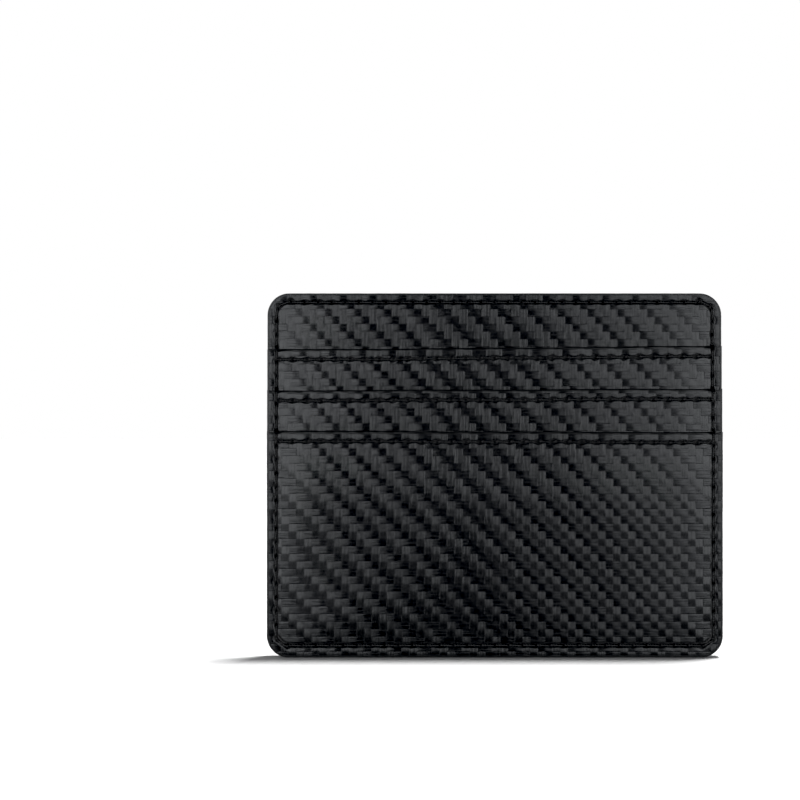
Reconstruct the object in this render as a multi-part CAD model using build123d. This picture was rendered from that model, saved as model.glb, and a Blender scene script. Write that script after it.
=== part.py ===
"""A minimalist card wallet: a plain back, a note compartment, and three stepped card pockets on the front.

Frame: +X to the right, +Z up, the front faces -Y. The origin is the middle of the bottom edge.
Sizes are in millimetres. Depths are counted from the back face towards the front face.
Each sub-part is written to parts/NODE.step.
"""

import math
import os

from build123d import *

# Outline
WIDTH = 100.0
HEIGHT = 80.0
CORNER_RADIUS = 4.8
EDGE_COAT = 0.25  # edge paint on the cut edges

# Layers, from the back face to the front face
BACK_LEATHER = 0.7
SHIELD_FILM = 0.1
LINING = 0.2
COMPARTMENT_GAP = 0.3  # the note compartment, held open by its seam tape
BASE_LEATHER = 0.6
POCKET_GAP = 0.25  # a card pocket, held open by its seam tape
POCKET_LINING = 0.15
POCKET_LEATHER = 0.5

# Card pockets, counted from the top one
POCKETS = 3
FIRST_MOUTH_DROP = 12.0  # from the top edge to the first mouth
MOUTH_STEP = 9.2
TAPE_WIDTH = 3.0  # from a side edge to the inner edge of a seam tape
BOTTOM_TAPE_WIDTH = 3.7  # from the bottom edge to where a card stops in the lowest pocket

# Stitching
SEAM_INSET = 2.0  # at the sides and the top
BOTTOM_SEAM_INSET = 2.7
HEM_DROP = 2.3  # from a mouth to its row of stitches
SEAM_PITCH = 3.0
HEM_PITCH = 3.2
STITCHES_ABOVE_FIRST_MOUTH = 2  # of the side seam, before the top row takes over
STITCH_SHARE = 0.84  # a stitch's length over its pitch
STITCH_SLANT = 6.0  # degrees between a stitch and its row
THREAD_WIDTH = 0.45
THREAD_HEIGHT = 0.2
CHANNEL_WIDTH = 0.9  # pressed channel that a row of stitches lies in
CHANNEL_DEPTH = 0.25

# Depths and heights that follow
BACK_FILM_AT = BACK_LEATHER
BACK_LINING_AT = BACK_FILM_AT + SHIELD_FILM
COMPARTMENT_AT = BACK_LINING_AT + LINING
FRONT_LINING_AT = COMPARTMENT_AT + COMPARTMENT_GAP
FRONT_FILM_AT = FRONT_LINING_AT + LINING
BASE_AT = FRONT_FILM_AT + SHIELD_FILM
BASE_FACE = BASE_AT + BASE_LEATHER
POCKET_STACK = POCKET_GAP + POCKET_LINING + POCKET_LEATHER
THICKNESS = BASE_FACE + POCKETS * POCKET_STACK

POCKET_DEPTH = HEIGHT - FIRST_MOUTH_DROP - (POCKETS - 1) * MOUTH_STEP - BOTTOM_TAPE_WIDTH
SEAM_TOP = HEIGHT - FIRST_MOUTH_DROP + STITCHES_ABOVE_FIRST_MOUTH * SEAM_PITCH
CORNER_START = HEIGHT - CORNER_RADIUS  # height where the upper corners begin
TOWARDS_FRONT = (0, -1, 0)


def mouth(pocket):
    """Height of a card pocket's mouth."""
    return HEIGHT - FIRST_MOUTH_DROP - (pocket - 1) * MOUTH_STEP


def face_depth(pocket):
    """Depth of a card pocket's front face; pocket 0 stands for the base panel."""
    return BASE_FACE + pocket * POCKET_STACK


# Outlines in XZ


def slab(outline, near, far):
    """Extrudes an XZ outline from one depth to a greater one."""
    plane = Plane.XZ.offset(near - THICKNESS / 2)
    return extrude(plane * outline, amount=far - near, dir=TOWARDS_FRONT)


def rounded(inset=0.0):
    """The wallet's rounded outline, drawn in by an inset."""
    shape = RectangleRounded(WIDTH - 2 * inset, HEIGHT - 2 * inset, CORNER_RADIUS - inset)
    return Pos(0, HEIGHT / 2) * shape


def drawn_in(inset, bottom_inset):
    """The wallet's rounded outline, drawn in further at the bottom than at the sides and the top."""
    low, high = bottom_inset, HEIGHT - inset
    shape = RectangleRounded(WIDTH - 2 * inset, high - low, CORNER_RADIUS - inset)
    return Pos(0, (low + high) / 2) * shape


def band(low, high, left=-WIDTH / 2, right=WIDTH / 2):
    """A rectangle from one height to another."""
    return Pos((left + right) / 2, (low + high) / 2) * Rectangle(right - left, high - low)


def panel_outline(pocket):
    """Outline of a pocket panel and its lining, inside the edge paint."""
    return rounded(EDGE_COAT) & band(0, mouth(pocket) - EDGE_COAT)


def edge_band():
    """The closed band of edge paint round the outline."""
    return rounded() - rounded(EDGE_COAT)


# Channels that the stitches lie in


def channel(outline, pocket):
    """A cutter that presses a channel into a front face."""
    face = face_depth(pocket)
    return slab(outline, face - CHANNEL_DEPTH, face + CHANNEL_DEPTH)


def seam_band(low, high):
    """The channel of the edge seam between two heights."""
    half = CHANNEL_WIDTH / 2
    outer = drawn_in(SEAM_INSET - half, BOTTOM_SEAM_INSET - half)
    inner = drawn_in(SEAM_INSET + half, BOTTOM_SEAM_INSET + half)
    return (outer - inner) & band(low, high)


def hem_band(pocket):
    """The channel of the row under a mouth, from one side seam to the other."""
    row = mouth(pocket) - HEM_DROP
    half_length = WIDTH / 2 - SEAM_INSET
    return band(row - CHANNEL_WIDTH / 2, row + CHANNEL_WIDTH / 2, -half_length, half_length)


# Leather panels


def back_panel():
    """Outer leather of the back wall."""
    leather = slab(rounded(EDGE_COAT), 0, BACK_LEATHER)
    return leather - slab(seam_band(0, HEIGHT), -CHANNEL_DEPTH, CHANNEL_DEPTH)


def base_panel():
    """Leather behind the card pockets; its top strip shows above the first mouth."""
    leather = slab(rounded(EDGE_COAT), BASE_AT, BASE_FACE)
    return leather - channel(seam_band(mouth(1), HEIGHT), 0)


def pocket_panel(pocket):
    """Leather of one card pocket, from its mouth to the bottom edge."""
    face = face_depth(pocket)
    leather = slab(panel_outline(pocket), face - POCKET_LEATHER, face)
    lowest_seen = mouth(pocket + 1) if pocket < POCKETS else 0
    leather -= channel(seam_band(lowest_seen, mouth(pocket)), pocket)
    return leather - channel(hem_band(pocket), pocket)


# Lining and tape


def pocket_lining(pocket):
    """Cloth bonded to the rear of a pocket panel."""
    far = face_depth(pocket) - POCKET_LEATHER
    return slab(panel_outline(pocket), far - POCKET_LINING, far)


def seam_tape(top, near, thickness):
    """Tape along the left side, the bottom and the right side of a pocket or compartment."""
    ring = rounded(EDGE_COAT) - drawn_in(TAPE_WIDTH, BOTTOM_TAPE_WIDTH)
    return slab(ring & band(0, top), near, near + thickness)


# Edge paint


def stepped(outline):
    """An outline extruded from the back face to whichever front face shows at each height."""
    coat = slab(outline, 0, BASE_FACE)
    for pocket in range(1, POCKETS + 1):
        coat += slab(outline & band(0, mouth(pocket)), face_depth(pocket - 1), face_depth(pocket))
    return coat


def side_edge_coat(side):
    """Paint on one side edge and its lower corner; side is -1 on the left, 1 on the right."""
    straight_end = side * (WIDTH / 2 - CORNER_RADIUS)
    left, right = sorted((straight_end, side * WIDTH / 2))
    return stepped(edge_band() & band(0, CORNER_START, left, right))


def bottom_edge_coat():
    """Paint on the straight stretch of the bottom edge."""
    half_length = WIDTH / 2 - CORNER_RADIUS
    return slab(band(0, EDGE_COAT, -half_length, half_length), 0, THICKNESS)


def top_edge_coat(near, far):
    """Paint along the top edge of one wall of the note compartment, corners included."""
    return slab(edge_band() & band(CORNER_START, HEIGHT), near, far)


def mouth_edge_coat(pocket):
    """Paint on the cut mouth of a card pocket."""
    half_length = WIDTH / 2 - EDGE_COAT
    strip = band(mouth(pocket) - EDGE_COAT, mouth(pocket), -half_length, half_length)
    return slab(strip, face_depth(pocket) - POCKET_LEATHER - POCKET_LINING, face_depth(pocket))


# Thread: a row is a group of stitches, one solid each


def row(path, pitch, depth):
    """Stitches evenly spaced along a path, at the depth of their rear side."""
    count = round(path.length / pitch)
    length = path.length / count * STITCH_SHARE
    stitches = []
    for i in range(count):
        share = (i + 0.5) / count
        tangent = path % share
        heading = math.degrees(math.atan2(tangent.Y, tangent.X)) + STITCH_SLANT
        stitch = Pos(path @ share) * Rot(0, 0, heading) * SlotOverall(length, THREAD_WIDTH)
        stitches.append(slab(stitch, depth, depth + THREAD_HEIGHT))
    return stitches


def straight_path(half_length, height):
    """A level row's path."""
    return Line((-half_length, height), (half_length, height))


def corner_path(end_height, turn_height):
    """The seam's path from one side, round two corners, to the same height on the other side."""
    side = WIDTH / 2 - SEAM_INSET
    points = [(-side, end_height), (-side, turn_height), (side, turn_height), (side, end_height)]
    return FilletPolyline(*points, radius=CORNER_RADIUS - SEAM_INSET)


def in_front_channel(pocket):
    """Depth of a stitch that lies in a channel of a front face."""
    return face_depth(pocket) - CHANNEL_DEPTH


def top_stitches(depth):
    """The row along a top edge and round its corners."""
    return Compound(children=row(corner_path(SEAM_TOP, HEIGHT - SEAM_INSET), SEAM_PITCH, depth))


def back_seam_stitches():
    """The edge seam on the back: down one side, along the bottom and up the other side."""
    depth = CHANNEL_DEPTH - THREAD_HEIGHT
    return Compound(children=row(corner_path(SEAM_TOP, BOTTOM_SEAM_INSET), SEAM_PITCH, depth))


def front_seam_stitches():
    """The edge seam on the front, broken at each mouth because the face steps back there."""
    stitches = row(corner_path(mouth(POCKETS), BOTTOM_SEAM_INSET), SEAM_PITCH, in_front_channel(POCKETS))
    for pocket in range(POCKETS):
        low = mouth(pocket + 1)
        high = mouth(pocket) if pocket else SEAM_TOP
        for side in (-1, 1):
            x = side * (WIDTH / 2 - SEAM_INSET)
            stitches += row(Line((x, low), (x, high)), SEAM_PITCH, in_front_channel(pocket))
    return Compound(children=stitches)


def hem_stitches(pocket):
    """The row under a mouth, between the two side seams."""
    path = straight_path(WIDTH / 2 - SEAM_INSET - CHANNEL_WIDTH / 2, mouth(pocket) - HEM_DROP)
    return Compound(children=row(path, HEM_PITCH, in_front_channel(pocket)))


def stop_stitches(pocket):
    """The hidden row that a card stands on in an upper pocket, on the pocket panel's face."""
    path = straight_path(WIDTH / 2 - TAPE_WIDTH, mouth(pocket) - POCKET_DEPTH)
    return Compound(children=row(path, HEM_PITCH, face_depth(pocket)))


def walls():
    """The two walls of the note compartment, by node name."""
    sheet = rounded(EDGE_COAT)
    return {
        "back_panel": back_panel(),
        "back_shield_film": slab(sheet, BACK_FILM_AT, BACK_LINING_AT),
        "back_lining": slab(sheet, BACK_LINING_AT, COMPARTMENT_AT),
        "compartment_seam_tape": seam_tape(CORNER_START, COMPARTMENT_AT, COMPARTMENT_GAP),
        "front_lining": slab(sheet, FRONT_LINING_AT, FRONT_FILM_AT),
        "front_shield_film": slab(sheet, FRONT_FILM_AT, BASE_AT),
        "base_panel": base_panel(),
        "left_edge_coat": side_edge_coat(-1),
        "right_edge_coat": side_edge_coat(1),
        "bottom_edge_coat": bottom_edge_coat(),
        "back_top_edge_coat": top_edge_coat(0, COMPARTMENT_AT),
        "front_top_edge_coat": top_edge_coat(FRONT_LINING_AT, BASE_FACE),
        "front_seam_stitches": front_seam_stitches(),
        "back_seam_stitches": back_seam_stitches(),
        "front_top_stitches": top_stitches(in_front_channel(0)),
        "back_top_stitches": top_stitches(CHANNEL_DEPTH - THREAD_HEIGHT),
    }


def card_pocket(pocket):
    """One card pocket, by node name."""
    behind = face_depth(pocket - 1)
    nodes = {
        "seam_tape": seam_tape(mouth(pocket) - EDGE_COAT, behind, POCKET_GAP),
        "lining": pocket_lining(pocket),
        "panel": pocket_panel(pocket),
        "edge_coat": mouth_edge_coat(pocket),
        "hem_stitches": hem_stitches(pocket),
    }
    if pocket < POCKETS:
        nodes["stop_stitches"] = stop_stitches(pocket)
    return {f"pocket_{pocket}_{name}": shape for name, shape in nodes.items()}


nodes = walls()
for number in range(1, POCKETS + 1):
    nodes.update(card_pocket(number))

os.makedirs("parts", exist_ok=True)
for name, shape in nodes.items():
    export_step(shape, f"parts/{name}.step")
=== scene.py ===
"""Looks for the card wallet: embossed weave leather, sewn rows, painted edges and cloth linings.

Lengths are in metres, in the frame's axes: +X to the right, +Z up, the front faces -Y.
"""

import math
import random

import bmesh
import bpy
import numpy as np
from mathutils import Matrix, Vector


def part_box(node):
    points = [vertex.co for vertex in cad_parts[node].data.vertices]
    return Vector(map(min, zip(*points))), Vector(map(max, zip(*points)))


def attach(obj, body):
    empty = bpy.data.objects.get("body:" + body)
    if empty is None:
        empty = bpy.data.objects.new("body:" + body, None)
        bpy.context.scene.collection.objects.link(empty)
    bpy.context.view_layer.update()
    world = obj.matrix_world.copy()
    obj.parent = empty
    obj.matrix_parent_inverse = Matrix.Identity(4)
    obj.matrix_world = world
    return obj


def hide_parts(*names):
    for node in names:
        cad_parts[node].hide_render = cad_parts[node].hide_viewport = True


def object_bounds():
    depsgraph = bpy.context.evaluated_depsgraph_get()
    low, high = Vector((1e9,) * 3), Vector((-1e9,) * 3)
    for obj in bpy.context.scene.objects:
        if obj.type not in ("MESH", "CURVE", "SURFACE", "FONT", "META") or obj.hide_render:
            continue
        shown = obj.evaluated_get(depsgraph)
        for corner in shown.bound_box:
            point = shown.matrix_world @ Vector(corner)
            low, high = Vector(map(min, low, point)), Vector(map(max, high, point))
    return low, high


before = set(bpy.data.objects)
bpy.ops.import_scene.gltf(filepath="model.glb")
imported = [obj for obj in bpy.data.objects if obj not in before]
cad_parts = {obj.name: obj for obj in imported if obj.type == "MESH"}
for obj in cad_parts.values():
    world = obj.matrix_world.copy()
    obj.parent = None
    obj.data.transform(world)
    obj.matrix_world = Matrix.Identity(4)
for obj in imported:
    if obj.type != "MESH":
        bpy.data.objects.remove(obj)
cad_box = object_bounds()

MM = 0.001
FRONT, BACK = -1, 1  # which way along Y a face looks

# The wallet, from the frame
LOWEST, HIGHEST = cad_box
HALF_WIDTH = HIGHEST.x
HEIGHT = HIGHEST.z
CORNER_RADIUS = 4.8 * MM
CORNER_START = HEIGHT - CORNER_RADIUS
EDGE_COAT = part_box("bottom_edge_coat")[1].z
POCKETS = 3
SEAM_INSET = 2.0 * MM  # at the sides and the top
BOTTOM_SEAM_INSET = 2.7 * MM


def mouth(pocket):
    """Height of a card pocket's mouth; the one after the last is the floor."""
    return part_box(f"pocket_{pocket}_edge_coat")[1].z if pocket <= POCKETS else 0.0


def middle(node):
    """Middle of a node's box."""
    low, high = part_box(node)
    return (low + high) / 2


# Embossed weave: a 2/2 twill of tows
TOW = 1.65 * MM
FLOATS = 4  # tows in one repeat
RELIEF = 0.02 * MM
SIDE_DROP, SIDE_POWER = 0.12, 6  # the share that a tow loses at its sides, and how suddenly
ARCH = 0.033 * MM  # the rest of a float's arch, in the leather's shading
ARCH_POWER = 1.4
LEVEL_ARCH = 0.8  # the level floats' share of that
WEAVE_ORIGINS = {  # the corner of a cell of each panel's weave; x is to the right as seen from outside
    "back_panel": (1.3 * MM, 1.0 * MM),
    "base_panel": (0.6 * MM, 0.6 * MM),
    "pocket_1_panel": (6.5 * MM, 0.1 * MM),
    "pocket_2_panel": (4.0 * MM, 0.2 * MM),
    "pocket_3_panel": (1.1 * MM, 1.3 * MM),
}

# Grids of the leather meshes
STEPS_PER_TOW = 5
FINE_STEP = 0.1 * MM  # beside a row of stitches
ROW_REACH = 0.75 * MM  # and how near the row that is
HIDDEN_FROM = 3 * MM  # below the mouth in front, where the grid turns coarse

# Mouths and the rows under them
MOUTH_RISE = (0.42 * MM, 0.2 * MM, -0.15 * MM)  # of each mouth's right end
MOUTH_WAVES = ((0.05 * MM, 41 * MM, 2), (0.025 * MM, 17 * MM, 1))  # height, length and phase for each pocket
FOLLOW_START, FOLLOW_END = 6 * MM, 2 * MM  # below a row, where its wander sets in and where it is full
FLAT_BELOW, FULL_ABOVE = 2.5 * MM, 1.0 * MM  # under the mouth in front: flat below this, shaped above that
INK_REACH = 0.34 * MM  # how far the dye of a cut mouth soaks down the face

# Grooves under the stitches
GROOVE_DEPTH = 0.26 * MM
GROOVE_HALF_WIDTH = 0.26 * MM
SIDE_SPREAD, LOWER_SPREAD = 0.7, 1.8  # the groove's outer half against its inner half, at the sides and below
HEM_DEPTH = 0.16 * MM
HEM_HALF_WIDTH = 0.2 * MM
HEM_FADE = 0.3 * MM  # each side of the edge seam, where a hem row's groove ends
FLATTENING = 0.75  # the share of the relief that a groove presses out

# Dents at the needle holes
HOLE_OFFSET = 0.1 * MM  # from the end of the CAD stitch
HOLE_DEPTH = 0.34 * MM
HOLE_RADIUS = 0.5 * MM  # along the stitch
HOLE_NARROWING = 1.45  # across it
GROOVE_SHARE = 0.4  # the share of a dent that the groove already has

# Margin outside the seam
MARGIN_PEAK = 0.6 * MM  # the margin is highest this far from the edge
MARGIN_DIP = 0.035 * MM  # and sinks this much towards the seam
MARGIN_ENDS = (0.25 * MM, -0.05 * MM)  # inwards from the seam: the dip is gone here, and full there
RIM_DROP = 0.06 * MM
RIM_REACH = 0.25 * MM
MOUTH_RIM_REACH = 0.2 * MM

# Pads inside the seam
PADS = {
    "back_panel": 0.4 * MM,
    "base_panel": 0.25 * MM,
    "pocket_1_panel": 0.35 * MM,
    "pocket_2_panel": 0.35 * MM,
    "pocket_3_panel": 0.45 * MM,
}
PAD_START = 0.3 * MM  # from a row of stitches to where the padding begins
PAD_ROLL = 0.75 * MM  # and to where it is full, at the bottom
PAD_ROLL_TOP = 0.45 * MM  # and at the top
ROLL_LOW, ROLL_HIGH = 0.3 * HEIGHT, 0.7 * HEIGHT  # the heights between which one becomes the other
PAD_ROLL_START = 0.1 * MM
PAD_REACH = 3.4 * MM
STRIP_PAD = 0.4  # share of the padding between a mouth and its row
UNEVENNESS = 0.12 * MM
UNEVEN_FROM, UNEVEN_FULL = 1 * MM, 8 * MM  # from the seam inwards
WAVE_LENGTHS = (16, 48)  # of the unevenness, in millimetres
WAVES = 6

# Painted shade in the grooves and needle holes, and darkening along the rims
GROOVE_SHADE, HOLE_SHADE, RIM_DARKENING = 0.8, 1.3, 0.1

# Thread; heights are in radii
THREAD_RADIUS = 0.22 * MM
STITCH_SLANT = math.radians(-8)
THREAD_STRANDS = 2
THREAD_TURN = 0.9 * MM  # length of one turn of the strands
THREAD_BODY, THREAD_BULGE = 0.88, 0.3  # mean radius, and how far the strands stand out of it
THREAD_CROWN, THREAD_PLUNGE = 1.05, 2.3  # height of the middle, and how far the ends drop from it
THREAD_TAPER = 0.45  # share of the radius lost at the ends
THREAD_FLATNESS = 0.8
THREAD_SEAT = 0.9  # from the CAD stitch's middle down to the bottom of the bow
THREAD_TUCK = 0.28 * MM  # how far each end runs past the CAD stitch's


def smooth(low, high, value):
    """0 below low, 1 above high, and a smooth rise between."""
    t = np.clip((value - low) / (high - low), 0, 1)
    return t * t * (3 - 2 * t)


def inside_distance(x, z, half_width, low, high, radius):
    """Distance inwards from a rounded rectangle's outline; below 0 outside it."""
    beyond_x = np.abs(x) - (half_width - radius)
    beyond_z = np.abs(z - (low + high) / 2) - ((high - low) / 2 - radius)
    outside = np.hypot(np.maximum(beyond_x, 0), np.maximum(beyond_z, 0))
    inside = np.minimum(np.maximum(beyond_x, beyond_z), 0)
    return radius - outside - inside


def edge_distance(x, z):
    """Distance inwards from the wallet's outline."""
    return inside_distance(x, z, HALF_WIDTH, 0, HEIGHT, CORNER_RADIUS)


def seam_distance(x, z):
    """Distance inwards from the edge seam."""
    half_width, high = HALF_WIDTH - SEAM_INSET, HEIGHT - SEAM_INSET
    return inside_distance(x, z, half_width, BOTTOM_SEAM_INSET, high, CORNER_RADIUS - SEAM_INSET)


def row_shift(pocket, x):
    """How far a pocket's mouth and the row under it wander up from where they should be."""
    shift = MOUTH_RISE[pocket - 1] * x / HALF_WIDTH
    for height, length, phase in MOUTH_WAVES:
        shift = shift + height * np.sin(math.tau * x / length + phase * pocket)
    return shift


def round_corners(x, z, inset):
    """Moves the points of a rectangular grid so that its corners follow the wallet's, less an inset."""
    radius = CORNER_RADIUS - inset
    centre_x = HALF_WIDTH - CORNER_RADIUS
    centre_z = HEIGHT / 2 - CORNER_RADIUS
    u = np.clip((np.abs(x) - centre_x) / radius, 0, 1)
    v = np.clip((np.abs(z - HEIGHT / 2) - centre_z) / radius, 0, 1)
    in_corner = (u > 0) & (v > 0)
    round_x = np.sign(x) * (centre_x + radius * u * np.sqrt(1 - v * v / 2))
    round_z = HEIGHT / 2 + np.sign(z - HEIGHT / 2) * (centre_z + radius * v * np.sqrt(1 - u * u / 2))
    return np.where(in_corner, round_x, x), np.where(in_corner, round_z, z)


def undulation(x, z, seed):
    """Slow waves in a hand-finished sheet, from -1 to 1."""
    draw = random.Random(seed)
    total = np.zeros_like(x)
    for _ in range(WAVES):
        length = draw.uniform(*WAVE_LENGTHS) * MM
        turn = draw.uniform(0, math.tau)
        phase = draw.uniform(0, math.tau)
        along = x * math.cos(turn) + z * math.sin(turn)
        total += np.sin(math.tau * along / length + phase)
    return total / WAVES


def weave_height(x, z, origin):
    """Height of the embossed tows, from 0 in the valleys to 1 on top."""
    across = (x - origin[0]) / TOW
    down = (origin[1] - z) / TOW
    column, row = np.floor(across), np.floor(down)
    step = np.mod(column - row, FLOATS)
    part_x, part_z = across - column, down - row
    upright = step < 2
    side = np.where(upright, part_x, part_z)
    along = np.where(upright, part_z + (step == 0), part_x + (step == 3))
    return (1 - SIDE_DROP * np.abs(2 * side - 1) ** SIDE_POWER) * (1 - np.abs(along - 1) ** ARCH_POWER)


def groove_press(z, from_seam):
    """How far the edge seam presses the leather down, from 0 to 1."""
    lowness = smooth(2 * BOTTOM_SEAM_INSET, 0.5 * BOTTOM_SEAM_INSET, z)
    spread = np.where(from_seam < 0, SIDE_SPREAD + (LOWER_SPREAD - SIDE_SPREAD) * lowness, 1)
    return np.exp(-((from_seam / (GROOVE_HALF_WIDTH * spread)) ** 2))


def pad_share(x, z, from_seam):
    """How full the padding is inside the edge seam, from 0 to 1."""
    from_side = HALF_WIDTH - SEAM_INSET - np.abs(x)
    inwards = 1 - np.exp(-np.maximum(from_side - PAD_START, 0) / PAD_REACH)
    roll = PAD_ROLL_TOP + (PAD_ROLL - PAD_ROLL_TOP) * smooth(ROLL_HIGH, ROLL_LOW, z)
    return inwards * smooth(PAD_ROLL_START, roll, from_seam)


def margin_dip(margin, from_seam):
    """How far the margin has sunk between its highest line and the seam."""
    sunk = ((margin - MARGIN_PEAK) / (SEAM_INSET - MARGIN_PEAK)) ** 2
    return MARGIN_DIP * np.minimum(sunk, 1) * smooth(*MARGIN_ENDS, from_seam)


# Meshes


def new_piece(name, mesh, material, nodes):
    """Puts a mesh in the scene as a piece of the wallet that stands for CAD nodes."""
    piece = bpy.data.objects.new(name, mesh)
    bpy.context.scene.collection.objects.link(piece)
    mesh.materials.append(material)
    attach(piece, "root")
    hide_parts(*nodes)
    return piece


def finish_mesh(mesh, sharp_degrees=38):
    """Turns all normals outwards and shades smooth except at sharp edges."""
    work = bmesh.new()
    work.from_mesh(mesh)
    bmesh.ops.recalc_face_normals(work, faces=work.faces)
    work.to_mesh(mesh)
    work.free()
    mesh.shade_smooth()
    mesh.set_sharp_from_angle(angle=math.radians(sharp_degrees))
    return mesh


def grid_sheet(name, columns, rows, place, rear_y):
    """A closed sheet: a grid of front points given by place(x, z), with a flat rear at rear_y."""
    x, z = np.meshgrid(columns, rows)
    points, shade_and_dye_amount = place(x, z)
    height, width = x.shape
    index = np.arange(height * width).reshape(height, width)
    quads = np.stack([index[:-1, :-1], index[:-1, 1:], index[1:, 1:], index[1:, :-1]], -1).reshape(-1, 4)
    ring = np.concatenate([index[0, :-1], index[:-1, -1], index[-1, :0:-1], index[:0:-1, 0]])
    front = points.reshape(-1, 3)
    rear = front[ring].copy()
    rear[:, 1] = rear_y
    rear_index = np.arange(len(ring)) + len(front)
    following = np.roll(ring, -1)
    rim = np.stack([ring, following, np.roll(rear_index, -1), rear_index], -1)
    mesh = bpy.data.meshes.new(name)
    faces = [*quads.tolist(), *rim.tolist(), rear_index.tolist()]
    mesh.from_pydata(np.concatenate([front, rear]).tolist(), [], faces)
    # Per point: painted shade in the grooves, needle holes and rims, and the mouths' edge dye
    attribute = mesh.attributes.new("painted_shade_and_edge_dye", "FLOAT", "POINT")
    values = np.concatenate([shade_and_dye_amount.ravel(), np.zeros(len(ring))])
    attribute.data.foreach_set("value", values.astype(np.float32))
    return finish_mesh(mesh)


def lines(low, high, start, step, rows, coarse_below=None):
    """Grid lines from low to high on a weave's borders: close beside rows of stitches, far where hidden."""
    spare = step / 3  # no line comes nearer to either end than this
    first = math.ceil((low + spare - start) / step)
    last = math.floor((high - spare - start) / step)
    values = [low]
    for i in range(first, last + 1):
        value = start + i * step
        if coarse_below is None or value > coarse_below or i % STEPS_PER_TOW == 0:
            values.append(value)
    values.append(high)
    finer = []
    for value, following in zip(values, values[1:]):
        gap = following - value
        near = any(abs((value + following) / 2 - row) < ROW_REACH for row in rows)
        parts = math.ceil(gap / FINE_STEP) if near else 1
        finer += [value + gap * i / parts for i in range(parts)]
    return np.array([*finer, high])


# Stitches


def stitches_of(node):
    """(middle, direction along the stitch, length) of every stitch in a CAD node."""
    same_point = 0.001 * MM
    work = bmesh.new()
    work.from_mesh(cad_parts[node].data)
    bmesh.ops.remove_doubles(work, verts=work.verts, dist=same_point)
    work.verts.ensure_lookup_table()
    seen = set()
    found = []
    for start in work.verts:
        if start in seen:
            continue
        seen.add(start)
        island, todo = [], [start]
        while todo:
            vertex = todo.pop()
            island.append(vertex.co.to_tuple())
            for edge in vertex.link_edges:
                other = edge.other_vert(vertex)
                if other not in seen:
                    seen.add(other)
                    todo.append(other)
        points = np.array(island)
        centre = (points.min(0) + points.max(0)) / 2
        flat = (points - centre)[:, [0, 2]]
        direction = np.linalg.svd(flat, full_matrices=False)[2][0]
        length = np.ptp(flat @ direction)
        turn_x, turn_z = math.cos(STITCH_SLANT), math.sin(STITCH_SLANT)
        direction = direction @ np.array([[turn_x, turn_z], [-turn_z, turn_x]])
        if "_hem_" in node:
            pocket = int(node.split("_")[1])
            centre[2] += row_shift(pocket, centre[0])
        found.append((centre, direction, length))
    work.free()
    return found


def holes_of(nodes):
    """(x, z, stitch direction in x and z) of every needle hole of some nodes."""
    ends = []
    for node in nodes:
        for centre, direction, length in stitches_of(node):
            for sign in (-1, 1):
                end = centre[[0, 2]] + sign * direction * (length / 2 + HOLE_OFFSET)
                ends.append((*end, *direction))
    return ends


def hole_press(x, z, holes):
    """How deep each point lies in the dents round the needle holes, from 0 to 1."""
    press = np.zeros_like(x)
    reach = 3 * HOLE_RADIUS
    for hole_x, hole_z, run_x, run_z in holes:
        near = (np.abs(x - hole_x) < reach) & (np.abs(z - hole_z) < reach)
        from_x, from_z = x[near] - hole_x, z[near] - hole_z
        along = from_x * run_x + from_z * run_z
        across = (from_x * run_z - from_z * run_x) * HOLE_NARROWING
        squared = along**2 + across**2
        press[near] = np.maximum(press[near], np.exp(-squared / HOLE_RADIUS**2))
    return press


def thread_mesh(name, node, outward):
    """Twisted thread for every stitch of a node, bowed up in the middle and plunging at both ends."""
    stations, around = 25, 12
    along = np.linspace(-1, 1, stations)
    angle = np.linspace(0, math.tau, around, endpoint=False)
    rise = THREAD_RADIUS * (THREAD_CROWN - THREAD_PLUNGE * np.abs(along) ** 6)
    taper = 1 - THREAD_TAPER * np.abs(along) ** 8
    out = Vector((0, outward, 0))
    vertices, faces = [], []
    for centre, direction, length in stitches_of(node):
        run = Vector((direction[0], 0, direction[1]))
        side = run.cross(out)
        floor_y = centre[1] - outward * THREAD_RADIUS * THREAD_SEAT
        base = len(vertices)
        for t, lift, narrow in zip(along, rise, taper):
            middle_point = Vector((centre[0], floor_y, centre[2])) + run * (t * (length / 2 + THREAD_TUCK))
            twist = t * length / THREAD_TURN * math.pi
            for a in angle:
                bulge = THREAD_BODY + THREAD_BULGE * math.cos(THREAD_STRANDS * (a - twist))
                radius = THREAD_RADIUS * narrow * bulge
                height = math.sin(a) * radius * THREAD_FLATNESS + lift
                vertices.append(middle_point + (side * (math.cos(a) * radius) + out * height))
        for s in range(stations - 1):
            for a in range(around):
                b = (a + 1) % around
                row, after = base + s * around, base + (s + 1) * around
                faces.append((row + a, row + b, after + b, after + a))
        faces.append(tuple(base + a for a in range(around)))
        faces.append(tuple(base + (stations - 1) * around + a for a in range(around)))
    mesh = bpy.data.meshes.new(name)
    mesh.from_pydata(vertices, [], faces)
    return finish_mesh(mesh, sharp_degrees=80)


# Edge paint


def bead_profile(near_y, far_y, depth, overlap, radius, rounds=5):
    """Section of an edge bead as (outwards, y) points: a bar with its two outer corners rounded."""
    low, high = sorted((near_y, far_y))
    points = [(-depth, low), (-overlap, low)]
    for corner_y, start in ((low, -90), (high, 0)):
        inner_y = corner_y + radius * (1 if start < 0 else -1)
        for i in range(rounds + 1):
            turn = math.radians(start + 90 * i / rounds)
            points.append((-radius + radius * math.cos(turn), inner_y + radius * math.sin(turn)))
    return points + [(-overlap, high), (-depth, high)]


def arc(centre_x, centre_z, radius, start, end, steps=12):
    """Points of an arc and their outward directions, in degrees from +X."""
    points = []
    for i in range(steps + 1):
        turn = math.radians(start + (end - start) * i / steps)
        out = (math.cos(turn), math.sin(turn))
        points.append((centre_x + radius * out[0], centre_z + radius * out[1], *out))
    return points


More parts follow.
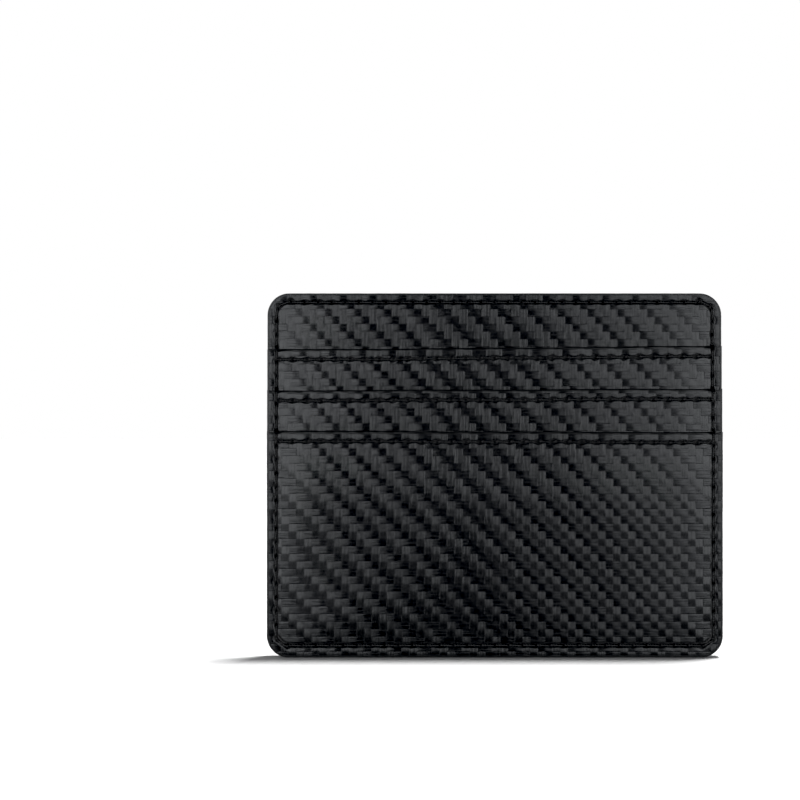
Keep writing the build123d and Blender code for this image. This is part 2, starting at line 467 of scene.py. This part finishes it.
def straight(start, end, out, spacing=1.5 * MM):
    """Points of a straight stretch of edge, without its ends."""
    count = max(2, round(math.dist(start, end) / spacing))
    points = []
    for i in range(1, count):
        share = i / count
        x = start[0] + (end[0] - start[0]) * share
        z = start[1] + (end[1] - start[1]) * share
        points.append((x, z, *out))
    return points


def under_path(left_top, right_top):
    """Edge path down the left side, along the bottom and up the right side."""
    inner_x = HALF_WIDTH - CORNER_RADIUS
    left = straight((-HALF_WIDTH, left_top), (-HALF_WIDTH, CORNER_RADIUS), (-1, 0))
    bottom = straight((-inner_x, 0), (inner_x, 0), (0, -1))
    right = straight((HALF_WIDTH, CORNER_RADIUS), (HALF_WIDTH, right_top), (1, 0))
    first = (-HALF_WIDTH, left_top, -1, 0)
    last = (HALF_WIDTH, right_top, 1, 0)
    left_corner = arc(-inner_x, CORNER_RADIUS, CORNER_RADIUS, 180, 270)
    right_corner = arc(inner_x, CORNER_RADIUS, CORNER_RADIUS, 270, 360)
    return [first, *left, *left_corner, *bottom, *right_corner, *right, last]


def over_path():
    """Edge path round the left corner, along the top and round the right corner."""
    inner_x = HALF_WIDTH - CORNER_RADIUS
    top = straight((-inner_x, HEIGHT), (inner_x, HEIGHT), (0, 1))
    left_corner = arc(-inner_x, CORNER_START, CORNER_RADIUS, 180, 90)
    right_corner = arc(inner_x, CORNER_START, CORNER_RADIUS, 90, 0)
    return [*left_corner, *top, *right_corner]


def sweep(paths_and_profiles, name, wander_seed):
    """Sweeps each profile along its path into one mesh, with the paint's thickness wandering a little."""
    wander = 0.012  # millimetres
    draw = random.Random(wander_seed)
    vertices, faces = [], []
    for path, profile in paths_and_profiles:
        base = len(vertices)
        size = len(profile)
        for x, z, out_x, out_z in path:
            swell = draw.uniform(-wander, wander) * MM
            for out, y in profile:
                reach = out + (swell if out > -EDGE_COAT / 2 else 0)
                vertices.append((x + out_x * reach, y, z + out_z * reach))
        for s in range(len(path) - 1):
            for p in range(size):
                q = (p + 1) % size
                row, after = base + s * size, base + (s + 1) * size
                faces.append((row + p, row + q, after + q, after + p))
        faces.append(tuple(range(base, base + size)))
        faces.append(tuple(range(base + (len(path) - 1) * size, base + len(path) * size)))
    mesh = bpy.data.meshes.new(name)
    mesh.from_pydata(vertices, [], faces)
    return finish_mesh(mesh, sharp_degrees=50)


# Materials


class Shader:
    """A Principled material whose nodes are added by short calls."""

    def __init__(self, name):
        self.material = bpy.data.materials.new(name)
        self.material.use_nodes = True
        self.tree = self.material.node_tree
        self.surface = self.tree.nodes["Principled BSDF"]

    def node(self, kind, inputs=None, **settings):
        """Adds a node, sets its properties, and sets or links its inputs."""
        made = self.tree.nodes.new(kind)
        for key, value in settings.items():
            setattr(made, key, value)
        for key, value in (inputs or {}).items():
            self.feed(made.inputs[key], value)
        return made

    def feed(self, socket, value):
        """Links a socket or sets its value."""
        if isinstance(value, bpy.types.NodeSocket):
            self.tree.links.new(value, socket)
        else:
            socket.default_value = value

    def math(self, operation, first, second=0.0, third=0.0):
        """A Math node's result."""
        inputs = {0: first, 1: second, 2: third}
        return self.node("ShaderNodeMath", inputs, operation=operation).outputs[0]

    def blend(self, share, first, second):
        """A Mix node's colour result."""
        made = self.node("ShaderNodeMix", data_type="RGBA")
        self.feed(made.inputs["Factor"], share)
        self.feed(made.inputs["A"], first)
        self.feed(made.inputs["B"], second)
        return made.outputs["Result"]

    def mix(self, share, first, second):
        """A Mix node's number result."""
        made = self.node("ShaderNodeMix", data_type="FLOAT")
        self.feed(made.inputs[0], share)
        self.feed(made.inputs[2], first)
        self.feed(made.inputs[3], second)
        return made.outputs[0]

    def place(self):
        """X, Y and Z of a point in the frame."""
        coordinates = self.node("ShaderNodeTexCoord").outputs["Object"]
        return self.node("ShaderNodeSeparateXYZ", {0: coordinates}).outputs

    def vector(self, x, y, z):
        """A vector from three numbers."""
        return self.node("ShaderNodeCombineXYZ", {0: x, 1: y, 2: z}).outputs[0]

    def noise(self, vector, scale, detail=2.0, rough=0.5):
        """Noise from 0 to 1."""
        inputs = {"Vector": vector, "Scale": scale, "Detail": detail, "Roughness": rough}
        return self.node("ShaderNodeTexNoise", inputs).outputs["Fac"]

    def ease(self, value, low, high):
        """0 below low, 1 above high, and a smooth rise between."""
        inputs = {"Value": value, "From Min": low, "From Max": high}
        return self.node("ShaderNodeMapRange", inputs, interpolation_type="SMOOTHSTEP").outputs[0]

    def bump(self, height, distance, strength=1.0, normal=None):
        """A Bump node's normal."""
        inputs = {"Height": height, "Distance": distance, "Strength": strength}
        if normal is not None:
            inputs["Normal"] = normal
        return self.node("ShaderNodeBump", inputs).outputs["Normal"]

    def set(self, **values):
        """Sets or links sockets of the Principled shader; an underscore stands for a space."""
        for key, value in values.items():
            self.feed(self.surface.inputs[key.replace("_", " ")], value)


def rgb(red, green, blue):
    """An opaque colour."""
    return (red, green, blue, 1.0)


# Leather; scales are features per metre
ROUGH_LOW, ROUGH_HIGH = 0.125, 0.18
PRESSED_ROUGH = 0.75
COAT, COAT_ROUGH = 0.7, 0.15
FIBRES_ACROSS, FIBRES_ALONG = 3400.0, 300.0
HAIRS_ACROSS, HAIRS_ALONG = 1500.0, 80.0
HAIR_WIDTH = 0.05  # a hair is where its noise comes this near to the middle
STREAKS = 0.8  # how much the fibres darken the colour
SIDE_EASE, END_EASE = 0.12, 0.08  # widths of a tow's rounded border, in tows


def weave_nodes(s, x, z, origin):
    """Whether a point's float is upright, whether the point is in its first half, and the distances in tows
    to the float's nearer end and nearer side."""
    columns = s.math("DIVIDE", s.math("SUBTRACT", x, origin[0]), TOW)
    rows = s.math("DIVIDE", s.math("SUBTRACT", origin[1], z), TOW)
    diagonal = s.math("SUBTRACT", s.math("FLOOR", columns), s.math("FLOOR", rows))
    step = s.math("FLOORED_MODULO", diagonal, float(FLOATS))
    upright = s.math("LESS_THAN", step, 1.5)
    into_column, into_row = s.math("FRACT", columns), s.math("FRACT", rows)
    into_half = s.mix(upright, into_column, into_row)
    first_half = s.mix(upright, s.math("COMPARE", step, 2.0), s.math("COMPARE", step, 1.0))
    from_end = s.mix(first_half, s.math("SUBTRACT", 1.0, into_half), into_half)
    from_side = s.math("PINGPONG", s.mix(upright, into_row, into_column), 0.5)
    return upright, first_half, from_end, from_side


def arched_normal(s, upright, first_half, from_end, mirrored):
    """The face's normal, tilted along each float as on an arch."""
    steepness = ARCH_POWER * ARCH / TOW
    slope = s.math("POWER", s.math("SUBTRACT", 1.0, from_end), ARCH_POWER - 1)
    slope = s.math("MULTIPLY", slope, steepness)
    slope = s.math("MULTIPLY", slope, s.math("MULTIPLY_ADD", first_half, 2.0, -1.0))
    slope_down = s.math("MULTIPLY", slope, upright)
    level_share = -LEVEL_ARCH if mirrored else LEVEL_ARCH
    slope_across = s.math("MULTIPLY", s.math("SUBTRACT", slope_down, slope), level_share)
    face = s.node("ShaderNodeNewGeometry").outputs["Normal"]
    tilt = s.vector(slope_across, 0.0, slope_down)
    tilted = s.node("ShaderNodeVectorMath", {0: face, 1: tilt}, operation="ADD").outputs[0]
    return s.node("ShaderNodeVectorMath", {0: tilted}, operation="NORMALIZE").outputs[0]


def weave_leather(name, origin, mirrored):
    """Embossed carbon-look leather: each tow scatters light across its own fibres; the upright tows are
    painted lighter as painted sheen and the level ones darker as painted shade, and the grooves, needle holes
    and rims get painted shade.
    """
    s = Shader(name)
    x, _, z = s.place()
    if mirrored:
        x = s.math("MULTIPLY", x, -1.0)
    upright, first_half, from_end, from_side = weave_nodes(s, x, z, origin)
    painted_shade_and_edge_dye = s.node("ShaderNodeAttribute", attribute_name="painted_shade_and_edge_dye").outputs["Fac"]

    across, along = s.mix(upright, z, x), s.mix(upright, x, z)

    def stretched(by_across, by_along):
        return s.vector(s.math("MULTIPLY", across, by_across), s.math("MULTIPLY", along, by_along), upright)

    flat = s.vector(x, 0.0, z)
    fibres = s.noise(stretched(FIBRES_ACROSS, FIBRES_ALONG), scale=1.0, detail=3.0, rough=0.6)
    hairs = s.noise(stretched(HAIRS_ACROSS, HAIRS_ALONG), scale=1.0, detail=1.0)
    hairs = s.ease(s.math("ABSOLUTE", s.math("SUBTRACT", hairs, 0.5)), 0.0, HAIR_WIDTH)
    grain = s.noise(flat, scale=2600.0, detail=3.0)
    clouds = s.noise(flat, scale=45.0)

    # Painted sheen and shade: upright tows painted lighter and level tows darker, for how each catches the
    # light
    upright_colour_painted_sheen = s.blend(clouds, rgb(0.0050, 0.0053, 0.0058), rgb(0.0075, 0.0078, 0.0084))
    level_colour_painted_shade = s.blend(clouds, rgb(0.0011, 0.0013, 0.0022), rgb(0.0018, 0.0021, 0.0032))
    colour = s.blend(upright, level_colour_painted_shade, upright_colour_painted_sheen)
    streaked = s.blend(s.math("MULTIPLY", fibres, STREAKS), colour, rgb(0.0012, 0.0013, 0.0017))
    # Painted shade: grooves, needle holes and rims are painted darker, along with the mouths' edge dye
    shaded_and_dyed = s.blend(painted_shade_and_edge_dye, streaked, rgb(0.0009, 0.0009, 0.0011))

    side_height = s.math("MAXIMUM", s.ease(from_side, 0.0, SIDE_EASE), upright)
    tow_height = s.math("MULTIPLY", side_height, s.ease(from_end, 0.0, END_EASE))
    normal = arched_normal(s, upright, first_half, from_end, mirrored)
    normal = s.bump(grain, 0.004 * MM, strength=0.5, normal=normal)
    normal = s.bump(tow_height, 0.012 * MM, normal=normal)
    coat_normal = s.bump(hairs, 0.009 * MM, normal=normal)
    normal = s.bump(fibres, 0.03 * MM, strength=0.8, normal=coat_normal)
    roughness = s.mix(painted_shade_and_edge_dye, s.mix(fibres, ROUGH_LOW, ROUGH_HIGH), PRESSED_ROUGH)
    tangent = s.vector(upright, 0.0, s.math("SUBTRACT", 1.0, upright))
    s.set(Base_Color=shaded_and_dyed, Roughness=roughness, Normal=normal, Coat_Normal=coat_normal, Tangent=tangent)
    s.set(Anisotropic=1.0, IOR=1.5, Coat_Weight=COAT, Coat_Roughness=COAT_ROUGH)
    return s.material


def thread_material():
    """Waxed black thread, finely ribbed by its filaments."""
    s = Shader("waxed_thread")
    x, y, z = s.place()
    fibre = s.noise(s.vector(x, y, z), scale=9000.0, detail=3.0)
    colour = s.blend(fibre, rgb(0.0003, 0.0003, 0.0004), rgb(0.002, 0.002, 0.0023))
    normal = s.bump(fibre, 0.02 * MM, strength=0.7)
    s.set(Base_Color=colour, Roughness=s.mix(fibre, 0.08, 0.22), Normal=normal, IOR=1.7)
    return s.material


def mouth_ink_material():
    """Matt black dye on the cut edges of the pocket mouths."""
    s = Shader("mouth_ink")
    x, y, z = s.place()
    soaked = s.noise(s.vector(x, y, z), scale=2500.0, detail=3.0)
    colour = s.blend(soaked, rgb(0.0006, 0.0006, 0.0007), rgb(0.0016, 0.0016, 0.0018))
    normal = s.bump(soaked, 0.02 * MM, strength=0.5)
    s.set(Base_Color=colour, Roughness=s.mix(soaked, 0.65, 0.85), Normal=normal, IOR=1.3)
    return s.material


def edge_paint_material():
    """Glossy black edge paint, slightly uneven from the brush."""
    s = Shader("edge_paint")
    x, y, z = s.place()
    brushed = s.noise(s.vector(x, y, z), scale=700.0, detail=3.0)
    specks = s.noise(s.vector(x, y, z), scale=5200.0)
    colour = s.blend(brushed, rgb(0.0035, 0.0035, 0.004), rgb(0.008, 0.008, 0.009))
    normal = s.bump(specks, 0.004 * MM, strength=0.4)
    normal = s.bump(brushed, 0.04 * MM, strength=0.5, normal=normal)
    s.set(Base_Color=colour, Roughness=s.mix(brushed, 0.2, 0.36), Normal=normal)
    s.set(IOR=1.52, Coat_Weight=0.3, Coat_Roughness=0.15)
    return s.material


def cloth_material():
    """Plain-woven polyester lining, with painted shade in the hollows between the yarns."""
    s = Shader("lining_cloth")
    x, _, z = s.place()
    yarns_apart = 0.42 * MM
    turns = math.tau / yarns_apart
    warp = s.math("SINE", s.math("MULTIPLY", x, turns))
    weft = s.math("SINE", s.math("MULTIPLY", z, turns))
    weave = s.math("MULTIPLY", warp, weft)
    height = s.math("MULTIPLY_ADD", weave, 0.5, 0.5)
    fuzz = s.noise(s.vector(x, 0.0, z), scale=4000.0, detail=3.0)
    # Painted shade: darker where the weave lies low, between the yarns
    colour = s.blend(height, rgb(0.006, 0.006, 0.007), rgb(0.02, 0.02, 0.022))
    normal = s.bump(height, 0.03 * MM, strength=0.8)
    normal = s.bump(fuzz, 0.01 * MM, strength=0.6, normal=normal)
    s.set(Base_Color=colour, Roughness=s.mix(fuzz, 0.6, 0.85), Normal=normal)
    s.set(Sheen_Weight=0.2, Sheen_Roughness=0.5)
    return s.material


def film_material():
    """Metallised shield film with fine creases."""
    s = Shader("shield_film")
    x, y, z = s.place()
    creases = s.noise(s.vector(x, y, z), scale=300.0, detail=5.0, rough=0.7)
    colour = s.blend(creases, rgb(0.5, 0.51, 0.52), rgb(0.66, 0.67, 0.68))
    s.set(Base_Color=colour, Roughness=s.mix(creases, 0.22, 0.4), Normal=s.bump(creases, 0.02 * MM))
    s.set(Metallic=1.0)
    return s.material


def tape_material():
    """Black bonding tape with a crepe texture."""
    s = Shader("seam_tape")
    x, y, z = s.place()
    crepe = s.noise(s.vector(x, y, z), scale=1500.0, detail=3.0)
    colour = s.blend(crepe, rgb(0.012, 0.012, 0.012), rgb(0.03, 0.03, 0.03))
    s.set(Base_Color=colour, Roughness=s.mix(crepe, 0.6, 0.8), Normal=s.bump(crepe, 0.03 * MM))
    return s.material


# Leather panels


class Panel:
    """One leather panel: which node it is, which way it faces, and what is sewn to it."""

    def __init__(self, node, outward, threads, pocket=0):
        low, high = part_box(node)
        self.node = node
        self.outward = outward
        self.face_y = low.y if outward == FRONT else high.y
        self.rear_y = high.y if outward == FRONT else low.y
        self.top = high.z
        self.origin = WEAVE_ORIGINS[node]
        self.pad = PADS[node]
        self.pocket = pocket
        self.hem = middle(f"pocket_{pocket}_hem_stitches").z if pocket else None
        self.seen_above = 0.0 if outward == BACK else mouth(pocket + 1)
        self.holes = holes_of(threads)
        self.seed = sum(map(ord, node))

    def place(self, x, z):
        """Front points of the panel, and how much painted shade (grooves, needle holes, rims) and mouth edge
        dye each one has.
        """
        x, z = round_corners(x, z, EDGE_COAT)
        if self.hem:
            shift = row_shift(self.pocket, x)
            z = z + shift * smooth(self.hem - FOLLOW_START, self.hem - FOLLOW_END, z)
        margin = edge_distance(x, z)
        from_seam = seam_distance(x, z)
        press = groove_press(z, from_seam)
        depth = GROOVE_DEPTH * press
        padding = pad_share(x, z, from_seam)
        rim = np.exp(-margin / RIM_REACH)
        mouth_ink = 0
        if self.hem:
            from_hem = self.hem + shift - z
            from_mouth = self.top + shift - z
            hem_press = np.exp(-((from_hem / HEM_HALF_WIDTH) ** 2)) * smooth(-HEM_FADE, HEM_FADE, from_seam)
            depth = np.maximum(depth, HEM_DEPTH * hem_press)
            press = np.maximum(press, hem_press)
            below = 1 - np.exp(-np.maximum(from_hem - HEM_HALF_WIDTH, 0) / PAD_REACH)
            padding = padding * np.where(from_hem > 0, STRIP_PAD + (1 - STRIP_PAD) * below, STRIP_PAD)
            rim = np.maximum(rim, np.exp(-from_mouth / MOUTH_RIM_REACH))
            mouth_ink = smooth(INK_REACH, INK_REACH / 2, from_mouth)
        holes = hole_press(x, z, self.holes)
        mirrored_x = x if self.outward == FRONT else -x
        height = RELIEF * weave_height(mirrored_x, z, self.origin) * (1 - FLATTENING * press)
        uneven = UNEVENNESS * undulation(x, z, self.seed) * smooth(UNEVEN_FROM, UNEVEN_FULL, from_seam)
        height += padding * self.pad + uneven
        height -= depth + HOLE_DEPTH * holes * (1 - GROOVE_SHARE * press) + RIM_DROP * rim
        height -= margin_dip(margin, from_seam)
        if self.seen_above:
            height = height * smooth(self.seen_above - FLAT_BELOW, self.seen_above - FULL_ABOVE, z)
        y = self.face_y + self.outward * height
        # Painted shade in the grooves, needle holes and rims, plus the mouth's real edge dye
        shade_and_dye_amount = GROOVE_SHADE * press**2 + HOLE_SHADE * holes + RIM_DARKENING * rim + mouth_ink
        return np.stack([x, y, z], -1), np.clip(shade_and_dye_amount, 0, 1)

    def build(self):
        """The panel as a piece with its own weave."""
        mirror = -1 if self.outward == BACK else 1
        half = HALF_WIDTH - EDGE_COAT
        step = TOW / STEPS_PER_TOW
        coarse_below = self.seen_above - HIDDEN_FROM if self.seen_above else None
        side_rows = (-HALF_WIDTH + SEAM_INSET, HALF_WIDTH - SEAM_INSET)
        columns = lines(-half, half, mirror * self.origin[0], step, side_rows)
        level_rows = (BOTTOM_SEAM_INSET, self.hem or HEIGHT - SEAM_INSET)
        if self.seen_above:
            level_rows = level_rows[1:]
        rows = lines(EDGE_COAT, self.top, self.origin[1], step, level_rows, coarse_below)
        mesh = grid_sheet(self.node, columns, rows, self.place, self.rear_y)
        material = weave_leather(f"weave_{self.node}", self.origin, self.outward == BACK)
        piece = new_piece(f"{self.node}_leather", mesh, material, [self.node])
        return piece


def build_panels():
    """Back, base and pocket panels."""
    Panel("back_panel", BACK, ["back_seam_stitches", "back_top_stitches"]).build()
    Panel("base_panel", FRONT, ["front_seam_stitches", "front_top_stitches"]).build()
    for k in range(1, POCKETS + 1):
        Panel(f"pocket_{k}_panel", FRONT, ["front_seam_stitches", f"pocket_{k}_hem_stitches"], k).build()


def build_threads():
    """All rows of stitches."""
    material = thread_material()
    rows = [("front_seam_stitches", FRONT), ("front_top_stitches", FRONT)]
    rows += [("back_seam_stitches", BACK), ("back_top_stitches", BACK)]
    rows += [(f"pocket_{k}_hem_stitches", FRONT) for k in range(1, POCKETS + 1)]
    rows += [(f"pocket_{k}_stop_stitches", FRONT) for k in range(1, POCKETS)]
    for node, outward in rows:
        name = node.replace("stitches", "thread")
        new_piece(name, thread_mesh(name, node, outward), material, [node])


def build_edge_paint():
    """Beads of paint on every cut edge: one round the sides and bottom, and one on each free edge."""
    material = edge_paint_material()
    ink = mouth_ink_material()
    proud = 0.05 * MM

    def bead(front_y, back_y):
        near_y, far_y = front_y - proud, back_y + proud
        return bead_profile(near_y, far_y, depth=0.45 * MM, overlap=0.3 * MM, radius=0.2 * MM)

    back_y = HIGHEST.y
    faces = [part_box("base_panel")[0].y] + [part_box(f"pocket_{k}_panel")[0].y for k in range(1, POCKETS + 1)]
    parts = [(under_path(CORNER_START, CORNER_START), bead(faces[0], back_y))]
    for k in range(1, POCKETS + 1):
        tops = [mouth(k) + row_shift(k, x) for x in (-HALF_WIDTH, HALF_WIDTH)]
        parts.append((under_path(*tops), bead(faces[k], faces[k - 1])))
    mesh = sweep(parts, "side_edge_paint", wander_seed=11)
    new_piece("side_edge_paint", mesh, material,
              ["left_edge_coat", "right_edge_coat", "bottom_edge_coat"])
    for side in ("back", "front"):
        low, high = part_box(f"{side}_top_edge_coat")
        name = f"{side}_top_edge_paint"
        mesh = sweep([(over_path(), bead(low.y, high.y))], name, wander_seed=12)
        new_piece(name, mesh, material, [f"{side}_top_edge_coat"])
    for k in range(1, POCKETS + 1):
        low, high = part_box(f"pocket_{k}_edge_coat")
        ends = ((low.x, mouth(k)), (high.x, mouth(k)))
        path = [(x, z + row_shift(k, x), *out) for x, z, *out in straight(*ends, (0, 1))]
        near_y = low.y - proud / 2
        profile = bead_profile(near_y, high.y, depth=0.6 * MM, overlap=0.48 * MM, radius=0.16 * MM)
        name = f"pocket_{k}_edge_paint"
        mesh = sweep([(path, profile)], name, wander_seed=20 + k)
        new_piece(name, mesh, ink, [f"pocket_{k}_edge_coat"])


def build_linings():
    """Cloth linings, faintly slack inside the seams."""
    most_slack = 0.03 * MM
    slack_from, slack_full = 2 * MM, 8 * MM  # inwards from the edge
    across, up = 60, 50  # grid lines
    material = cloth_material()
    facing = {"back_lining": FRONT, "front_lining": BACK}
    facing.update({f"pocket_{k}_lining": BACK for k in range(1, POCKETS + 1)})
    for node, outward in facing.items():
        low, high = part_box(node)
        face_y, rear_y = (low.y, high.y) if outward == FRONT else (high.y, low.y)

        def place(x, z, face_y=face_y, outward=outward):
            x, z = round_corners(x, z, EDGE_COAT)
            share = smooth(slack_from, slack_full, edge_distance(x, z))
            slack = most_slack * undulation(x, z, seed=5) * share
            return np.stack([x, face_y + outward * slack, z], -1), np.zeros_like(x)

        columns = np.linspace(low.x, high.x, across)
        rows = np.linspace(low.z, high.z, up)
        mesh = grid_sheet(node, columns, rows, place, rear_y)
        piece = new_piece(f"{node}_cloth", mesh, material, [node])


def dress_hidden_nodes():
    """Materials for the CAD nodes that keep their own shape."""
    film, tape = film_material(), tape_material()
    for node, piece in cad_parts.items():
        if node.endswith("_film") or node.endswith("_tape"):
            piece.data.materials.clear()
            piece.data.materials.append(film if node.endswith("_film") else tape)


# Stage, light and camera

BOX_REACH = 0.7  # from the wallet to the soft boxes
BOX_SPANS = (  # left, right, share of the light, top of the lowest band and that band's share
    (-0.54, -0.17, 1.45, -0.012, 0.42),
    (-0.17, -0.065, 1.4, -0.012, 0.2),
    (0.045, 0.07, 0.08, -0.012, 0.3),
    (0.07, 0.1, 0.3, -0.03, 0.3),
    (0.1, 0.18, 0.95, -0.036, 0.2),
    (0.18, 0.56, 1.35, -0.036, 0.2),
)
BOX_LEVELS = (-0.09, 0.06, 0.32)  # bottom of the lowest band, and tops of the next two
UPPER_SHARE = 1.15
BOX_BRIGHTNESS = 0.99
BOX_COLOUR = (0.94, 0.97, 1.0)
ROOM_BRIGHTNESS = 0.02
GROUND_BRIGHTNESS = 1.0
GROUND_RISE = (-0.32, -0.14)  # the sine of the height above the horizon, where the ground fades out
PANEL_BRIGHTNESS = 0.35
ASIDE = (0.45, 0.7)  # the angle from straight ahead or behind, where both fade in
ROOM_PANELS = 8.0  # all round
PANEL_CONTRAST = 0.85
SUN_STRENGTH = 4.3
SUN_WIDTH = math.radians(12)
SUN_TURN = (math.radians(-9.5), math.radians(10), 0)
FLOOR_SIZE = 6
LENS = 110  # millimetres
VIEW_WIDTH = 1.754 * 2 * HALF_WIDTH  # what the picture spans at the wallet's face
CAMERA_X = -20.8 * MM
CAMERA_Z = HEIGHT / 2 + 16.5 * MM
BLACK_LEVEL = (0.0052, 0.005, 0.0046)


def build_stage():
    """A pale floor."""
    bpy.ops.mesh.primitive_plane_add(size=FLOOR_SIZE)
    floor = bpy.context.object
    floor.name = "floor"
    s = Shader("pale_floor")
    s.set(Base_Color=rgb(0.86, 0.86, 0.86), Roughness=0.9)
    floor.data.materials.append(s.material)
    floor.visible_glossy = False
    floor.visible_shadow = False
    return floor


def area_light(name, place, aim, size, power):
    """A soft box at a place, turned towards a point; the camera doesn't see it."""
    light = bpy.data.lights.new(name, "AREA")
    light.shape = "RECTANGLE"
    light.size, light.size_y = size
    light.energy = power
    light.color = BOX_COLOUR
    lamp = bpy.data.objects.new(name, light)
    bpy.context.scene.collection.objects.link(lamp)
    lamp.location = place
    lamp.rotation_euler = (Vector(aim) - Vector(place)).to_track_quat("-Z", "Y").to_euler()
    lamp.visible_camera = False
    return lamp


def soft_boxes(toward):
    """Soft boxes parallel to a face of the wallet, with a dark gap between left and right, dimmer below."""
    floor_level, eye_level, top_level = BOX_LEVELS
    for left, right, span_share, low_level, low_share in BOX_SPANS:
        levels = (floor_level, low_level, eye_level, top_level)
        for low, high, band_share in zip(levels, levels[1:], (low_share, 1.0, UPPER_SHARE)):
            x = -toward * (left + right) / 2
            z = (low + high) / 2
            size = (right - left, high - low)
            power = BOX_BRIGHTNESS * span_share * band_share * math.pi * size[0] * size[1]
            area_light("soft_box", (x, toward * BOX_REACH, z), (x, 0, z), size, power)


def build_lights(floor):
    """Soft boxes for the front and the back, and a high light that whitens only the floor."""
    soft_boxes(FRONT)
    soft_boxes(BACK)
    sun = bpy.data.lights.new("overhead", "SUN")
    sun.energy = SUN_STRENGTH
    sun.angle = SUN_WIDTH
    lamp = bpy.data.objects.new("overhead", sun)
    bpy.context.scene.collection.objects.link(lamp)
    lamp.rotation_euler = SUN_TURN
    lit = bpy.data.collections.new("lit_by_overhead")
    lit.objects.link(floor)
    lamp.light_linking.receiver_collection = lit


def build_world():
    """White behind the wallet; in its reflections, a dim room with upright panels over a pale ground."""
    world = bpy.data.worlds.new("studio")
    bpy.context.scene.world = world
    world.use_nodes = True
    nodes, links = world.node_tree.nodes, world.node_tree.links
    nodes.clear()

    def compute(operation, *values):
        made = nodes.new("ShaderNodeMath")
        made.operation = operation
        for socket, value in zip(made.inputs, values):
            if isinstance(value, bpy.types.NodeSocket):
                links.new(value, socket)
            else:
                socket.default_value = value
        return made.outputs[0]

    def rise(value, low, high, start, end):
        made = nodes.new("ShaderNodeMapRange")
        made.interpolation_type = "SMOOTHSTEP"
        links.new(value, made.inputs["Value"])
        for name, number in (("From Min", low), ("From Max", high), ("To Min", start), ("To Max", end)):
            made.inputs[name].default_value = number
        return made.outputs[0]

    direction = nodes.new("ShaderNodeTexCoord").outputs["Generated"]
    split = nodes.new("ShaderNodeSeparateXYZ")
    links.new(direction, split.inputs[0])
    x, y, z = split.outputs
    around = compute("ARCTAN2", x, y)
    panels = compute("MULTIPLY_ADD", compute("COSINE", compute("MULTIPLY", around, ROOM_PANELS)), -0.5, 0.5)
    aside = rise(compute("ABSOLUTE", compute("ARCTAN2", x, compute("ABSOLUTE", y))), *ASIDE, 0.0, 1.0)
    ground = rise(z, *GROUND_RISE, GROUND_BRIGHTNESS, 0.0)
    reach = compute("MULTIPLY", aside, compute("MAXIMUM", ground, PANEL_BRIGHTNESS))
    striped = compute("MULTIPLY_ADD", panels, PANEL_CONTRAST, 1 - PANEL_CONTRAST)
    lit = compute("MULTIPLY", striped, reach)
    room = nodes.new("ShaderNodeBackground")
    room.inputs["Color"].default_value = rgb(1, 1, 1)
    links.new(compute("ADD", lit, ROOM_BRIGHTNESS), room.inputs["Strength"])
    white = nodes.new("ShaderNodeBackground")
    white.inputs["Color"].default_value = rgb(1, 1, 1)
    ray = nodes.new("ShaderNodeLightPath")
    mixer = nodes.new("ShaderNodeMixShader")
    output = nodes.new("ShaderNodeOutputWorld")
    links.new(ray.outputs["Is Camera Ray"], mixer.inputs[0])
    links.new(room.outputs[0], mixer.inputs[1])
    links.new(white.outputs[0], mixer.inputs[2])
    links.new(mixer.outputs[0], output.inputs[0])


def build_camera():
    """A long lens straight in front, left of and above the wallet's middle."""
    data = bpy.data.cameras.new("camera")
    data.lens = LENS
    data.clip_start = 0.01
    camera = bpy.data.objects.new("camera", data)
    bpy.context.scene.collection.objects.link(camera)
    distance = VIEW_WIDTH * data.lens / data.sensor_width
    camera.location = (CAMERA_X, LOWEST.y - distance, CAMERA_Z)
    camera.rotation_euler = (math.radians(90), 0, 0)
    bpy.context.scene.camera = camera


def set_grade():
    """Plain colours with deep blacks."""
    grade = bpy.context.scene.view_settings
    grade.view_transform = "Standard"
    grade.use_curve_mapping = True
    grade.curve_mapping.black_level = BLACK_LEVEL
    grade.curve_mapping.update()


build_camera()
build_panels()
build_threads()
build_edge_paint()
build_linings()
dress_hidden_nodes()
build_lights(build_stage())
build_world()
set_grade()
